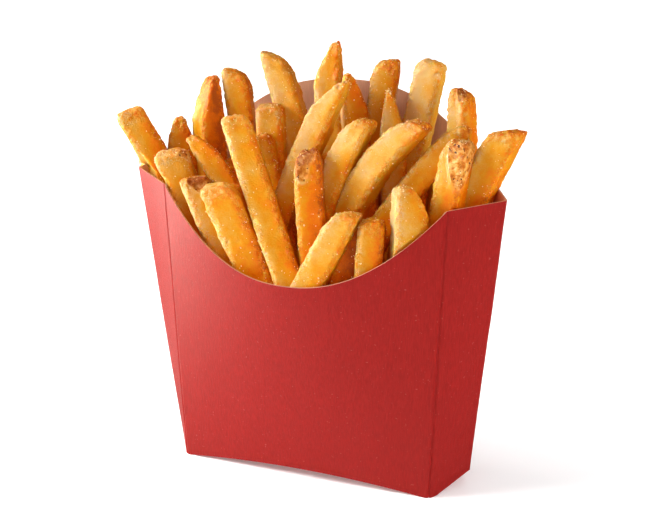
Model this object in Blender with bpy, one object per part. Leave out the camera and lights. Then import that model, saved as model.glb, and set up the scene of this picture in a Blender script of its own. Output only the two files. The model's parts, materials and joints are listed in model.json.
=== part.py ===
"""French fries in a takeaway carton.

Two solids, in metres, +Z up. The carton is one folded card: a front panel with a
scooped rim, a taller back panel with an arched rim, and on each side two facets
that meet at a side fold. Its bottom is an arched panel that touches the table on
two narrow flats. The fries are one solid, out to the outline of every stick.

The origin is on the table, under the middle of the whole.
"""

import math
from collections import namedtuple

import bmesh
import bpy
from mathutils import Vector

MM = 0.001

# Carton, in millimetres. A "score" is a crease between a panel and a facet, and a
# "fold" is the crease between a front and a back facet, at the widest place.
CARD = 0.5
SCORE_HALF_BOTTOM = 45.0
FRONT_SCORE_HALF_TOP = 49.0
BACK_SCORE_HALF_TOP = 47.5
FOLD_HALF_BOTTOM = 54.5
FOLD_HALF_TOP = 65.0

FRONT_Y_BOTTOM = -13.5
FRONT_Y_TOP = -15.5
FOLD_Y_BOTTOM = 1.5
FOLD_Y_TOP = -4.8
BACK_Y_BOTTOM = 16.5
BACK_Y_TOP = 20.5

FRONT_SCORE_HEIGHT = 98.0
FOLD_HEIGHT = 100.5
BACK_SCORE_HEIGHT = 108.0
SCOOP_HEIGHT = 71.5
ARCH_HEIGHT = 130.0
SCOOP_POWER = 2.25
ARCH_POWER = 2.45

BOTTOM_BULGE = 2.0
FRONT_BULGE = 12.3
BACK_BULGE = 6.0

BASE_RISE = 3.2
FLAT_INNER = 43.5
FLAT_OUTER = 46.5
FOLD_LIFT_LEFT = 0.6
FOLD_LIFT_RIGHT = 5.5

PANEL_STEPS = 24
FACET_STEPS = 3
WALL_ROWS = 4

# Fries, in millimetres.
FIT_GAP = 0.35
RIM_GAP = 0.5
CUTTER_DEPTH = 12.0
SEAT_HEIGHT = 70.0
CORE_HEIGHT = 65.0
STICK_FOOT = 55.0
CORNER_CUT = 0.22
TIP_CROWN = 1.2

# seat is where a stick's axis crosses the seat height, and tip is where it ends.
# turn rolls the square section about the axis, in degrees. bow is how far the
# middle of the stick bends to the left, and blunt is how wide its end is, as a
# share of its width.
Stick = namedtuple("Stick", "name seat tip width thick turn bow blunt")

STICKS = (
    # Along the scooped front rim, from left to right.
    Stick("rim_1", (-41, -5), (-47, -10, 108), 11.0, 9.5, 20, 0, 0.8),
    Stick("rim_2", (-28, -13), (-39, -14, 101), 8.5, 8.0, 25, 0, 0.6),
    Stick("rim_3", (-13, -18), (-28, -19, 100), 11.5, 10.0, 10, 0, 0.8),
    Stick("rim_4", (-2, -20), (-26, -8, 121), 10.0, 9.0, 12, 0, 0.8),
    Stick("rim_5", (5, -15), (1, -11, 112), 9.5, 8.5, 10, 0, 0.7),
    Stick("rim_6", (6, -22), (20, -20, 95), 10.0, 9.0, -20, 0, 0.6),
    Stick("rim_7", (15, -15), (18, -13, 90), 8.0, 8.0, 15, 0, 0.7),
    Stick("rim_8", (25, -19), (26, -18, 94), 9.0, 8.0, 0, 0, 0.8),
    Stick("rim_9", (35, -16), (37, -14, 104), 11.0, 9.0, 20, 0, 0.6),
    Stick("rim_10", (40, -10), (50, -7, 118), 11.0, 9.0, 30, 0, 0.6),
    # Across the middle.
    Stick("side_left", (-44, 1), (-67.5, -4, 120), 10.5, 9.0, 30, 0, 0.8),
    Stick("mid_1", (-10, -6), (-44, -4, 114), 9.0, 8.0, 20, 1, 0.5),
    Stick("mid_2", (-17, -3), (-33, 2, 106), 7.5, 7.5, 30, 0, 0.7),
    Stick("mid_3", (-18, -9), (8, 2, 132), 11.0, 9.5, 20, 0, 0.7),
    Stick("mid_4", (-11, 3), (-21, 3, 114), 7.0, 7.0, 10, 0, 0.7),
    Stick("mid_5", (1, -8), (20, -4, 122), 9.5, 9.0, 25, 3, 0.7),
    Stick("mid_6", (6, -5), (39, -4, 123), 10.5, 9.5, 20, 5, 0.6),
    Stick("mid_7", (15, -4), (51, 0, 122), 10.5, 9.0, 15, 3, 0.5),
    Stick("side_right", (43, -2), (68, -1, 122), 10.0, 9.5, 30, 3, 0.7),
    # Along the arched back rim, from left to right.
    Stick("back_1", (-41, 3), (-54, 6, 117), 8.5, 8.0, 30, 0, 0.5),
    Stick("back_2", (-39, 6), (-45, 8, 131), 10.0, 10.0, 25, -1, 0.6),
    Stick("back_3", (-26, 12), (-37, 15, 133), 9.0, 9.0, 15, 0, 0.9),
    Stick("back_4", (-13, 7), (-21, 9, 123), 10.0, 9.0, 5, 0, 0.8),
    Stick("back_5", (1, 13), (-23, 16, 139), 12.0, 10.0, 20, 0, 0.7),
    Stick("back_6", (-12, 15), (1, 16, 144), 9.5, 9.0, 30, 0, 0.5),
    Stick("back_7", (13, 8), (9, 10, 134), 8.5, 8.0, 20, 0, 0.5),
    Stick("back_8", (8, 14), (19, 16, 138), 9.5, 9.0, 15, 0, 0.8),
    Stick("back_9", (23, 6), (22, 8, 130), 8.0, 7.5, 20, 0, 0.4),
    Stick("back_10", (20, 13), (34, 15, 139), 11.0, 10.0, 10, 0, 0.8),
    Stick("back_11", (48, 3), (46, 9, 132), 10.5, 9.5, 20, 2, 0.8),
    # Shorter sticks that fill the gaps between the others.
    Stick("fill_1", (-31, 0), (-34, -2, 98), 9.0, 9.0, 35, 0, 0.8),
    Stick("fill_2", (-21, 3), (-27, 5, 106), 8.5, 8.5, 10, 0, 0.7),
    Stick("fill_3", (28, 1), (33, 3, 108), 9.5, 9.0, 25, 0, 0.7),
    Stick("fill_4", (35, 10), (41, 12, 116), 9.5, 9.0, 40, 0, 0.7),
    Stick("fill_5", (17, 3), (14, 4, 106), 8.5, 8.5, 15, 0, 0.8),
    Stick("fill_6", (-32, 12), (-29, 14, 112), 9.0, 8.5, 5, 0, 0.8),
    Stick("fill_7", (0, 2), (-3, 5, 108), 9.5, 9.0, 30, 0, 0.7),
    Stick("fill_8", (-20, 15), (-14, 18, 106), 9.0, 9.0, 20, 0, 0.8),
    Stick("fill_9", (5, 20), (7, 22, 104), 9.0, 8.5, 0, 0, 0.8),
    Stick("fill_10", (30, 15), (26, 18, 102), 9.0, 9.0, 10, 0, 0.7),
    Stick("fill_11", (44, 10), (52, 10, 110), 9.0, 8.5, 35, 0, 0.7),
    Stick("fill_12", (-45, 10), (-50, 12, 106), 8.5, 8.5, 20, 0, 0.8),
)


def clear_scene():
    for obj in list(bpy.data.objects):
        bpy.data.objects.remove(obj, do_unlink=True)


def material(name, colour, roughness):
    made = bpy.data.materials.new(name)
    made.use_nodes = True
    shader = made.node_tree.nodes["Principled BSDF"]
    shader.inputs["Base Color"].default_value = (*colour, 1.0)
    shader.inputs["Roughness"].default_value = roughness
    return made


def object_from(name, bm, finish=None):
    """A new object from a bmesh that is in millimetres."""
    bmesh.ops.remove_doubles(bm, verts=bm.verts, dist=0.001)
    bmesh.ops.recalc_face_normals(bm, faces=bm.faces)
    bmesh.ops.scale(bm, vec=(MM, MM, MM), verts=bm.verts)
    mesh = bpy.data.meshes.new(name)
    bm.to_mesh(mesh)
    bm.free()
    if finish:
        mesh.materials.append(finish)
    obj = bpy.data.objects.new(name, mesh)
    bpy.context.scene.collection.objects.link(obj)
    return obj


def blend(a, b, share):
    return a + (b - a) * share


def panel_shares():
    """From -1 to 1 across a panel, with steps where the flats of the base begin."""
    flat = FLAT_INNER / SCORE_HALF_BOTTOM
    inner = [blend(-flat, flat, i / PANEL_STEPS) for i in range(PANEL_STEPS + 1)]
    return [-1.0, *inner, 1.0]


def panel_column(share, y_bottom, y_top, half_top, rim, bulge, outwards):
    """(lowest, highest point) of a bowed panel. rim is (height at the scores, height in the middle, power)."""
    crown = 1 - share * share
    x_bottom = share * SCORE_HALF_BOTTOM
    rise = BASE_RISE * max(0.0, 1 - (x_bottom / FLAT_INNER) ** 2)
    low = Vector((x_bottom, y_bottom + outwards * BOTTOM_BULGE * crown, rise))
    at_scores, in_middle, power = rim
    height = blend(at_scores, in_middle, 1 - abs(share) ** power)
    up = height / at_scores
    x_top = share * blend(SCORE_HALF_BOTTOM, half_top, up)
    y = blend(y_bottom, y_top, up) + outwards * bulge * crown
    return low, Vector((x_top, y, height))


def front_columns():
    rim = (FRONT_SCORE_HEIGHT, SCOOP_HEIGHT, SCOOP_POWER)
    return [
        panel_column(s, FRONT_Y_BOTTOM, FRONT_Y_TOP, FRONT_SCORE_HALF_TOP, rim, FRONT_BULGE, -1)
        for s in panel_shares()
    ]


def back_columns():
    """The back panel from left to right, so that each column stands behind one of the front's."""
    rim = (BACK_SCORE_HEIGHT, ARCH_HEIGHT, ARCH_POWER)
    return [
        panel_column(s, BACK_Y_BOTTOM, BACK_Y_TOP, BACK_SCORE_HALF_TOP, rim, BACK_BULGE, 1)
        for s in panel_shares()
    ]


def fold_column(side):
    lift = FOLD_LIFT_LEFT if side < 0 else FOLD_LIFT_RIGHT
    low = Vector((side * FOLD_HALF_BOTTOM, FOLD_Y_BOTTOM, lift))
    return low, Vector((side * FOLD_HALF_TOP, FOLD_Y_TOP, FOLD_HEIGHT))


def facet_columns(score, fold):
    """The columns on a facet between its score and its fold, in that order.

    The first stands where the flat of the base ends, and the edge rises from there.
    """
    share = (FLAT_OUTER - SCORE_HALF_BOTTOM) / (FOLD_HALF_BOTTOM - SCORE_HALF_BOTTOM)
    flat_end = score[0].lerp(fold[0], share)
    flat_end.z = 0.0
    first = (flat_end, score[1].lerp(fold[1], share))
    return [
        (first[0].lerp(fold[0], i / FACET_STEPS), first[1].lerp(fold[1], i / FACET_STEPS))
        for i in range(FACET_STEPS)
    ]


def half_ring(panel, left, right):
    """From the left fold across a panel and its two facets to the right fold."""
    return [left, *reversed(facet_columns(panel[0], left)), *panel, *facet_columns(panel[-1], right), right]


def closed_walls(rows_of):
    """A bmesh with the walls and the base. rows_of turns a column into its points, from the bottom up."""
    left, right = fold_column(-1), fold_column(1)
    front = half_ring(front_columns(), left, right)
    back = half_ring(back_columns(), left, right)
    count = len(front)

    bm = bmesh.new()
    columns = [[bm.verts.new(p) for p in rows_of(c)] for c in front + back[1:-1]]
    front_walls = columns[:count]
    back_walls = [columns[0], *columns[count:], columns[count - 1]]
    for walls in (front_walls, back_walls):
        for here, there in zip(walls, walls[1:]):
            for i in range(len(here) - 1):
                corners = (here[i], there[i], there[i + 1], here[i + 1])
                bmesh.ops.triangulate(bm, faces=[bm.faces.new(corners)], quad_method="FIXED")
    for i in range(count - 1):
        corners = (front_walls[i][0], back_walls[i][0], back_walls[i + 1][0], front_walls[i + 1][0])
        bm.faces.new(list(dict.fromkeys(corners)))
    return bm, front_walls, back_walls


def carton_sheet(extra_rim=0.0):
    """A bmesh of the card's outer face, open at the top, with a strip above the rim if asked."""

    def rows(column):
        low, high = column
        points = [low.lerp(high, i / WALL_ROWS) for i in range(WALL_ROWS + 1)]
        if extra_rim:
            points.append(high + Vector((0, 0, extra_rim)))
        return points

    return closed_walls(rows)[0]


def add_carton(finish):
    carton = object_from("carton", carton_sheet(), finish)
    wall = carton.modifiers.new("card", "SOLIDIFY")
    wall.thickness = CARD * MM
    wall.offset = -1
    wall.use_even_offset = True
    return carton


def clearance_cutter():
    """A thick carton. What it takes off the fries leaves a gap to the card and to its rim."""
    cutter = object_from("carton_clearance", carton_sheet(RIM_GAP))
    inward = CARD + FIT_GAP
    thickness = inward + CUTTER_DEPTH
    wall = cutter.modifiers.new("card", "SOLIDIFY")
    wall.thickness = thickness * MM
    wall.offset = 1 - 2 * inward / thickness
    wall.use_even_offset = True
    cutter.hide_render = True
    cutter.display_type = "WIRE"
    return cutter


def add_core(finish):
    """What fills the carton up to the core height. The cutter trims its sides and bottom."""

    def rows(column):
        low, high = column
        share = (CORE_HEIGHT - low.z) / (high.z - low.z)
        return low, low.lerp(high, share)

    bm, front_walls, back_walls = closed_walls(rows)
    rim = [wall[1] for wall in front_walls] + [wall[1] for wall in reversed(back_walls[1:-1])]
    bm.faces.new(rim)
    return object_from("fries", bm, finish)


def section(width, thick, turn, across, forward):
    """The corners of a square stick with its edges cut, rolled about its axis."""
    half_w, half_t = width / 2, thick / 2
    cut_w, cut_t = half_w * (1 - 2 * CORNER_CUT), half_t * (1 - 2 * CORNER_CUT)
    flat = (
        (half_w, -cut_t), (half_w, cut_t), (cut_w, half_t), (-cut_w, half_t),
        (-half_w, cut_t), (-half_w, -cut_t), (-cut_w, -half_t), (cut_w, -half_t),
    )
    c, s = math.cos(math.radians(turn)), math.sin(math.radians(turn))
    return [across * (x * c - y * s) + forward * (x * s + y * c) for x, y in flat]


def add_stick(stick, collection):
    """One stick from inside the core to its tip, as rings of corners bridged in turn."""
    seat, tip = Vector((*stick.seat, SEAT_HEIGHT)), Vector(stick.tip)
    axis = tip - seat
    length = axis.length
    along = axis.normalized()
    across = Vector((0, 1, 0)).cross(along).normalized()
    forward = along.cross(across)
    foot = (STICK_FOOT - SEAT_HEIGHT) / axis.z
    end = 1 - TIP_CROWN / length
    stations = (
        (foot, 1.0), (0.25, 1.0), (0.5, 1.0), (0.75, 1.0),
        (end - 0.06, blend(stick.blunt, 1.0, 0.7)), (end, blend(stick.blunt, 1.0, 0.25)),
        (1.0, 0.6 * stick.blunt),
    )

    bm = bmesh.new()
    rings = []
    for share, scale in stations:
        bend = stick.bow * 4 * share * (1 - share) if share > 0 else 0.0
        centre = seat + axis * share - across * bend
        corners = section(stick.width * scale, stick.thick * scale, stick.turn, across, forward)
        verts = [bm.verts.new(centre + c) for c in corners]
        rings.append([bm.edges.new((verts[i - 1], verts[i])) for i in range(len(verts))])
    bmesh.ops.edgeloop_fill(bm, edges=rings[0])
    bmesh.ops.edgeloop_fill(bm, edges=rings[-1])
    for below, above in zip(rings, rings[1:]):
        bmesh.ops.bridge_loops(bm, edges=below + above)
    obj = object_from(stick.name, bm)
    obj.hide_render = True
    obj.display_type = "WIRE"
    bpy.context.scene.collection.objects.unlink(obj)
    collection.objects.link(obj)


def add_fries(finish):
    sticks = bpy.data.collections.new("sticks")
    bpy.context.scene.collection.children.link(sticks)
    for stick in STICKS:
        add_stick(stick, sticks)

    fries = add_core(finish)
    join = fries.modifiers.new("join_sticks", "BOOLEAN")
    join.operation = "UNION"
    join.solver = "EXACT"
    join.operand_type = "COLLECTION"
    join.collection = sticks
    join.use_self = True
    clear = fries.modifiers.new("clear_of_carton", "BOOLEAN")
    clear.operation = "DIFFERENCE"
    clear.solver = "EXACT"
    clear.object = clearance_cutter()
    return fries


def main():
    clear_scene()
    add_carton(material("red_card", (0.60, 0.06, 0.05), 0.6))
    add_fries(material("fried_potato", (0.80, 0.44, 0.10), 0.5))


main()
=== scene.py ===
"""French fries in a takeaway carton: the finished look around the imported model.

The carton is one folded sheet of card, printed red outside and bare inside. The fries
are joined meshes in rows, over a smaller core, with loose grains of salt on top.
"""

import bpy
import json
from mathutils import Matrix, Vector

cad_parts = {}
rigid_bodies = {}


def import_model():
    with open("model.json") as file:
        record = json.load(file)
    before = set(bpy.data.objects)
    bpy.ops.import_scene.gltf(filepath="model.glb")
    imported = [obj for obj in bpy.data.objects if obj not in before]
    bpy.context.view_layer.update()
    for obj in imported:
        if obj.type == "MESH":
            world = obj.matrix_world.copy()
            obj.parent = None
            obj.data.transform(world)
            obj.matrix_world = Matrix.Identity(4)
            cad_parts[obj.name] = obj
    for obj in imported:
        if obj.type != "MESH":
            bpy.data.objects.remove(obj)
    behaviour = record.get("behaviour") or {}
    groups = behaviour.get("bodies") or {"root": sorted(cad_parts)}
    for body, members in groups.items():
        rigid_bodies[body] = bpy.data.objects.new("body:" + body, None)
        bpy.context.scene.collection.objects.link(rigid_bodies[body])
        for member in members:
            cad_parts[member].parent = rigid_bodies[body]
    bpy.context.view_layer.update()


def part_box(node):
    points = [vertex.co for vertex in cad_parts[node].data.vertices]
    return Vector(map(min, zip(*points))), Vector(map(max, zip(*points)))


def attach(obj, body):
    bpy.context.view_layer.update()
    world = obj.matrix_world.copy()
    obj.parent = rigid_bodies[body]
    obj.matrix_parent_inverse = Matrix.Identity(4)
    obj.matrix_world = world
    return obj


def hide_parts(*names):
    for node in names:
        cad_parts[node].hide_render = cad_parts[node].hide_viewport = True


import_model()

import json
import math
from collections import namedtuple

import bpy
import numpy as np
from bpy.props import FloatProperty, FloatVectorProperty, IntProperty, PointerProperty
from mathutils import Vector

bl_info = {
    "name": "French Fries in a Carton",
    "version": (1, 0, 0),
    "blender": (4, 5, 0),
    "location": "View3D > Sidebar > Fries",
    "description": "A takeaway carton of french fries with crisp crusts and salt",
    "category": "Add Mesh",
}

MM = 0.001
BODY = "root"

# Carton, in millimetres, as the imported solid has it. A "score" is the crease between a
# panel and a facet, and a "fold" is the crease between a front and a back facet.
CARTON_LOW, CARTON_HIGH = (np.array(corner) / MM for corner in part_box("carton"))
SCORE_HALF_BOTTOM = 45.0
FOLD_HALF_BOTTOM = 54.5
FOLD_HALF_TOP = (CARTON_HIGH[0] - CARTON_LOW[0]) / 2
FOLD_Y_BOTTOM, FOLD_Y_TOP = 1.5, -4.8
FOLD_HEIGHT = 100.5
FOLD_LIFT_LEFT, FOLD_LIFT_RIGHT = 0.6, 5.5
BOTTOM_BULGE = 2.0
BASE_RISE = 3.2
FLAT_INNER, FLAT_OUTER = 43.5, 46.5
CARD = 0.5
CARD_GAP = 0.25
GROOVE_WIDTH = 0.42

# out is the side that a panel bows to: -1 to the front, 1 to the back.
Panel = namedtuple("Panel", "out y_bottom y_top half_top score_height mid_height power bulge")
FRONT = Panel(-1, -13.5, -15.5, 49.0, 98.0, 71.5, 2.25, 12.3)
BACK = Panel(1, 16.5, 20.5, 47.5, 108.0, 130.0, 2.45, 6.0)

# Stations round the carton, where the creases are.
LEFT_FOLD, FRONT_LEFT, FRONT_RIGHT, RIGHT_FOLD, BACK_RIGHT, BACK_LEFT = range(6)
CREASE_ROUND = (0.5, 0.7, 0.7, 0.5, 0.7, 0.7)
CREASE_REACH = 2.0
SEGMENT_LENGTH = np.array([18.0, 94.0, 18.0, 20.0, 94.0, 20.0])
GROOVED = (FRONT_LEFT, FRONT_RIGHT, BACK_RIGHT, BACK_LEFT)

SEAT_HEIGHT = 70.0
FRY_FOOT = 52.0
CORE_FOOT, CORE_TOP = 5.0, 57.0
CORE_MIDDLE_Y = 2.0
CORE_INSET = 2.4

# A fry's section, and the cap that closes its end. The cap's length is a share of the width.
SECTION_POWER, SECTION_HOLLOW = 5.0, 0.02
CAP_SHARE, CAP_SQUARENESS, CAP_ROWS = 0.2, 2.9, 13
HIDDEN_ROWS = 10
TIP_FADE = 4.0

# A fry's axis crosses the seat height at seat and ends at tip. turn rolls its section: at
# 22 degrees its front face meets the camera, and below that its right face shows as well.
# bow bends its middle to the left, and narrow is how much thinner it is at the top. Over its
# last reach it goes down to blunt, a share of its width, towards the side that lean gives.
# slant is how steeply the end is cut. tone runs from pale to deep gold, and brown is how
# dark the tip is. skin is the side that kept its peel, as an angle round the section, peel
# is the share of the length where that begins, and spread is how far round it goes at the tip.
Fry = namedtuple(
    "Fry",
    "seat tip width thick turn bow blunt reach lean slant narrow tone brown skin peel spread",
    defaults=(0, 0.8, 5, 0, 0, 0, 0.45, 0.3, None, 0.7, 0.5),
)

FRONT_ROW = (
    Fry((-13.6, -18), (-27.4, -19, 100.8), 11.8, 9.5, 12, 0, 0.78, 5, 0, -0.35, 0, 0.34, 0.3),
    Fry((-1.2, -20), (-26.4, -8, 121), 9.4, 9.0, 24, 0, 0.82, 5, -0.4, -0.15, 0, 0.36, 0.1),
    Fry((5.3, -22), (18.5, -20, 95.6), 8.8, 8.5, 2, 0, 0.75, 6, 0.4, 0.55, 0, 0.19, 0.3),
    Fry((15, -15), (18, -13, 90), 8.5, 8.5, 15, 0, 0.8, 4, 0, 0, 0, 0.8, 0.3),
    Fry((24.5, -19), (25.6, -18, 93.8), 8.8, 8.0, 15, 0, 0.85, 4, 0.1, 0.1, 0.04, 0.41, 0.4),
    Fry((37.2, -16), (36.6, -14, 104.6), 11.0, 8.6, 34, 0, 0.45, 11, -0.75, 0.1, 0, 0.15, 0.3),
)

MIDDLE_ROW = (
    Fry((-41, 1), (-68.4, -4, 120), 10.4, 8.8, 34, 0, 0.88, 4, 0.2, -0.1, 0.1, 0.4, 0.4),
    Fry((-12, -6), (-43.6, -4, 112.8), 8.0, 7.5, 24, -1, 0.4, 9, -0.6, -0.2, 0.1, 0.38, 0.2),
    Fry((-15, -1), (-33.4, 2, 104.5), 7.5, 7.5, 30, 0, 0.6, 5, 0, 0, 0, 0.55, 0.3),
    Fry((-18.2, -9), (6.1, 2, 133.2), 8.5, 8.2, 2, 0, 0.25, 13, 0.95, 0.4, 0, 0.24, 0.2),
    Fry((-11, 3), (-21, 3, 114), 7.0, 7.0, 10, 0, 0.5, 5, 0, 0, 0, 0.37, 0.45),
    Fry((-0.2, -8), (17.9, -4, 122.4), 8.8, 8.4, -8, 2.8, 0.6, 6, 0.2, 0.3, 0, 0.35, 0.3),
    Fry((8.6, -5), (36.6, -4, 122.8), 9.4, 8.8, -12, 6.5, 0.55, 6, 0.3, 0.2, 0, 0.33, 0.75),
    Fry((14.4, -4), (50.3, 0, 121.4), 9.6, 8.6, 4, 2.5, 0.35, 8, 0.1, 0.1, 0.15, 0.42, 0.5),
    Fry((43, -2), (63.8, -1, 121.4), 9.6, 8.8, -4, 1.5, 0.86, 4, 0.2, 0.5, -0.08, 0.42, 0.45),
)

BACK_ROW = (
    Fry((-48.4, 3), (-54.6, 6, 116.6), 9.4, 8.0, 28, 0, 0.3, 11, 0.1, 0, 0.05, 0.36, 0.35),
    Fry((-27.5, 12), (-36.9, 15, 132.6), 9.0, 8.8, 14, 0, 0.72, 5, -0.35, -0.45, 0.03, 0.34, 0.45),
    Fry((-2.3, 13), (-22.9, 16, 138.6), 9.4, 8.6, 8, -1, 0.7, 6, -0.4, -0.75, 0.02, 0.23, 0.5),
    Fry((6.3, 15), (-3.6, 16, 142.6), 9.4, 9.0, 8, 1, 0.22, 13, 0.95, 0.2, 0, 0.36, 0.4),
    Fry((15.6, 8), (7.1, 10, 134.4), 8.2, 7.6, 34, 0, 0.25, 13, -0.3, 0, 0, 0.50, 0.25),
    Fry((8, 14), (18, 16, 138.2), 8.8, 8.6, 15, 0, 0.75, 5, 0.3, 0.3, 0, 0.43, 0.35),
    Fry((26, 6), (22, 8, 130), 8.4, 7.5, 20, 0, 0.12, 15, -0.2, 0, 0, 0.20, 0.3),
    Fry((18.7, 13), (34, 15, 139.4), 9.2, 8.4, -2, 0, 0.72, 5, 0, 0, 0, 0.16, 0.12),
)

SKIN_ROW = (
    Fry((-36.7, -5), (-49.3, -10, 108.5), 11.0, 9.0, 22, 0, 0.88, 4, 0, -0.2, 0, 0.26, 0.15,
        335, 0.84, 0.3),
    Fry((-25.6, -13), (-38.6, -14, 101), 9.4, 8.0, 34, 0, 0.82, 5, -0.4, -0.2, 0, 0.0, 0.95,
        290, 0.74, 0.45),
    Fry((-42.2, 6), (-45.6, 8, 129), 9.4, 10.2, 52, -1.5, 0.3, 14, 0.95, 0.5, 0, 0.62, 0.95),
    Fry((-17, 7), (-20.9, 9, 123), 9.4, 9.0, 8, 0, 0.8, 4, -0.1, 0, 0, 0.25, 0.5),
    Fry((5.5, -15), (1, -11, 112.6), 8.8, 8.5, 16, 0, 0.55, 6, 0.2, 0.2, 0, 0.50, 0.85,
        255, 0.74, 0.5),
    Fry((42.9, -10), (50, -7, 118.4), 9.0, 8.2, -10, 0, 0.7, 5, 0.2, 0.1, 0.06, 0.55, 0.12,
        318, 0.64, 0.8),
    Fry((50.4, 3), (45.6, 9, 131.6), 9.6, 9.4, -16, 0.5, 0.72, 5, -0.1, -0.35, 0.27, 0.40, 0.9,
        290, 0.86, 0.3),
)

# These stand low behind the others, and close the gaps between them.
SHORT_FRIES = (
    Fry((-31, 0), (-34, -2, 98), 9.0, 9.0, 35),
    Fry((-21, 3), (-27, 5, 106), 8.5, 8.5, 10),
    Fry((28, 2), (32, 4, 103), 9.5, 9.0, 25),
    Fry((35, 10), (40, 12, 110), 9.5, 9.0, 40),
    Fry((17, 3), (14, 4, 106), 8.5, 8.5, 15),
    Fry((-32, 12), (-29, 14, 112), 9.0, 8.5, 5),
    Fry((0, 2), (-3, 5, 108), 9.5, 9.0, 30),
    Fry((-20, 15), (-14, 18, 106), 9.0, 9.0, 20),
    Fry((5, 20), (7, 22, 104), 9.0, 8.5, 0),
    Fry((30, 15), (26, 18, 102), 9.0, 9.0, 10),
    Fry((44, 10), (52, 10, 110), 9.0, 8.5, 35),
    Fry((-45, 10), (-50, 12, 106), 8.5, 8.5, 20),
)

# Colours that aren't a setting, and noise scales in cells for each metre.
PEEL_BROWN, PEEL_TAN, PEEL_PALE = (0.34, 0.095, 0.006), (0.54, 0.23, 0.03), (0.68, 0.42, 0.13)
PEEL_SPECK = (0.08, 0.022, 0.006)
SALT_DIM, SALT_BRIGHT = (1.0, 0.72, 0.34), (1.0, 0.86, 0.56)
WHITE = (1.0, 1.0, 1.0, 1.0)
BROAD, FINE, GRAIN, FIBRE = 150.0, 620.0, 2100.0, 2600.0
SALT_SEED = 17

# Stage, in metres and degrees. Azimuth 0 is the front, and 90 is the right. A lamp has its
# distance and its size.
STAGE_MIDDLE = (0.0, 0.0, 0.075)
LEFT_LAMP, RIGHT_LAMP = (0.55, 0.275), (0.50, 0.30)
SKY_WIDTH = 55
CAMERA_TARGET = (0.0019, 0.0015, 0.0721)
CAMERA_AZIMUTH, CAMERA_ELEVATION, CAMERA_DISTANCE = 22.33, 16.47, 0.4188


# Numbers on whole arrays


def blend(a, b, share):
    return a + (b - a) * share


def ease(x, low=0.0, high=1.0):
    """A smooth step: 0 below low, 1 above high, and 3t^2 - 2t^3 between them."""
    t = np.clip((x - low) / (high - low), 0.0, 1.0)
    return t * t * (3.0 - 2.0 * t)


def columns_of(*parts):
    """The parts as the columns of one array of points, each spread to the same shape."""
    return np.stack(np.broadcast_arrays(*parts), axis=-1).astype(float)


def turned(x, y, angle):
    return x * np.cos(angle) - y * np.sin(angle), x * np.sin(angle) + y * np.cos(angle)


def unit(vectors):
    return vectors / np.linalg.norm(vectors, axis=-1, keepdims=True)


def lattice(cells, seed):
    """A number from -1 to 1 for each whole-number cell, from its indices by integer hashing."""
    i, j, k = (cells[..., n].astype(np.uint32) for n in range(3))
    mixed = i * np.uint32(374761393) + j * np.uint32(668265263) + k * np.uint32(2246822519)
    mixed = mixed + np.uint32(seed * 974634777 % 2**32)
    mixed = (mixed ^ (mixed >> np.uint32(13))) * np.uint32(1274126177)
    mixed = mixed ^ (mixed >> np.uint32(16))
    return (mixed & np.uint32(0xFFFF)).astype(float) / 32767.5 - 1.0


def noise(points, size, seed):
    """Value noise from -1 to 1 with cells of that size.

    The eight corner values of a cell are mixed by 3t^2 - 2t^3 of the place in it.
    """
    scaled = points / size + 1000.0
    cell = np.floor(scaled)
    t = scaled - cell
    t = t * t * (3.0 - 2.0 * t)
    cell = cell.astype(np.int64)
    total = np.zeros(points.shape[:-1])
    for corner in np.ndindex(2, 2, 2):
        weight = np.prod(np.where(np.array(corner) == 1, t, 1.0 - t), axis=-1)
        total += weight * lattice(cell + np.array(corner), seed)
    return total


# Meshes and nodes


def grid_triangles(index):
    """Two triangles for each cell of a grid of vertex numbers, but none that has shrunk to a line."""
    a, b, c, d = index[:-1, :-1], index[:-1, 1:], index[1:, 1:], index[1:, :-1]
    halves = [np.stack(corners, axis=-1).reshape(-1, 3) for corners in ((a, b, c), (a, c, d))]
    found = np.vstack(halves)
    x, y, z = found.T
    return found[(x != y) & (y != z) & (z != x)]


def ring_triangles(index):
    """The same for a grid whose rows close round."""
    return grid_triangles(np.hstack([index, index[:, :1]]))


def fan(centre, ring, flip=False):
    """Triangles from one vertex to each edge of a closed ring of vertices."""
    following = np.roll(ring, -1)
    first, second = (following, ring) if flip else (ring, following)
    return np.stack([np.full(len(ring), centre), first, second], axis=-1)


def closed_tube(rows, count):
    """Triangles of rows of points round a tube. A fan to one more vertex closes each end."""
    index = np.arange(rows * count).reshape(rows, count)
    ends = fan(rows * count, index[0], flip=True), fan(rows * count + 1, index[-1])
    return np.vstack([ring_triangles(index), *ends])


def make_piece(name, points, triangles, materials, attributes=None, stands_for=None):
    """A smooth-shaded mesh at the origin from points in millimetres, riding on the part's one body."""
    mesh = bpy.data.meshes.new(name)
    mesh.vertices.add(len(points))
    mesh.vertices.foreach_set("co", (points * MM).astype(np.float32).ravel())
    mesh.loops.add(triangles.size)
    mesh.loops.foreach_set("vertex_index", triangles.astype(np.int32).ravel())
    mesh.polygons.add(len(triangles))
    mesh.polygons.foreach_set("loop_start", np.arange(0, triangles.size, 3, dtype=np.int32))
    mesh.update(calc_edges=True)
    mesh.validate()
    mesh.shade_smooth()
    for material in materials:
        mesh.materials.append(material)
    for key, values in (attributes or {}).items():
        made = mesh.attributes.new(key, "FLOAT", "POINT")
        made.data.foreach_set("value", values.astype(np.float32).ravel())
    piece = bpy.data.objects.new(name, mesh)
    bpy.context.scene.collection.objects.link(piece)
    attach(piece, BODY)
    if stands_for:
        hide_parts(stands_for)
    return piece


def read_vertices(pieces, key):
    """That property of all the vertices of these pieces, as one array."""
    found = [np.empty((len(piece.data.vertices), 3)) for piece in pieces]
    for piece, values in zip(pieces, found):
        piece.data.vertices.foreach_get(key, values.ravel())
    return np.vstack(found)


def new_material(name):
    """(material, its node tree)."""
    material = bpy.data.materials.new(name)
    material.use_nodes = True
    return material, material.node_tree


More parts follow.
